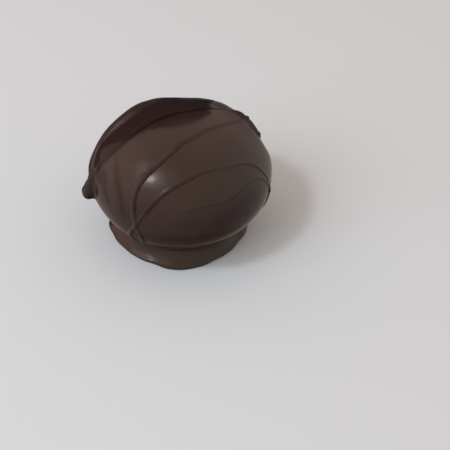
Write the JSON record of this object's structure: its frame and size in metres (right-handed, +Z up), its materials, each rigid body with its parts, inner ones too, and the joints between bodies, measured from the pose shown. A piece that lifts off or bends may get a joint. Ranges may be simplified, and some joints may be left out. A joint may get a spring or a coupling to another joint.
{
  "type": "chocolate bonbon",
  "caption": "Round hand-dipped chocolate bonbon on a small flat foot, with a thin zigzag drizzle of darker chocolate over it and a set drip at its side.",
  "frame": {"origin": "centre of the flat base that the bonbon rests on", "axes": "+Z up through the crown, the front of the bonbon faces -Y, the set drip is at the -X side"},
  "size_m": [0.0568, 0.0558, 0.0408],
  "materials": {
    "chocolate": "dark chocolate coat, semi-gloss, soft highlights"
  },
  "bodies": {
    "root": {"bonbon": "chocolate"}
  },
  "joints": []
}
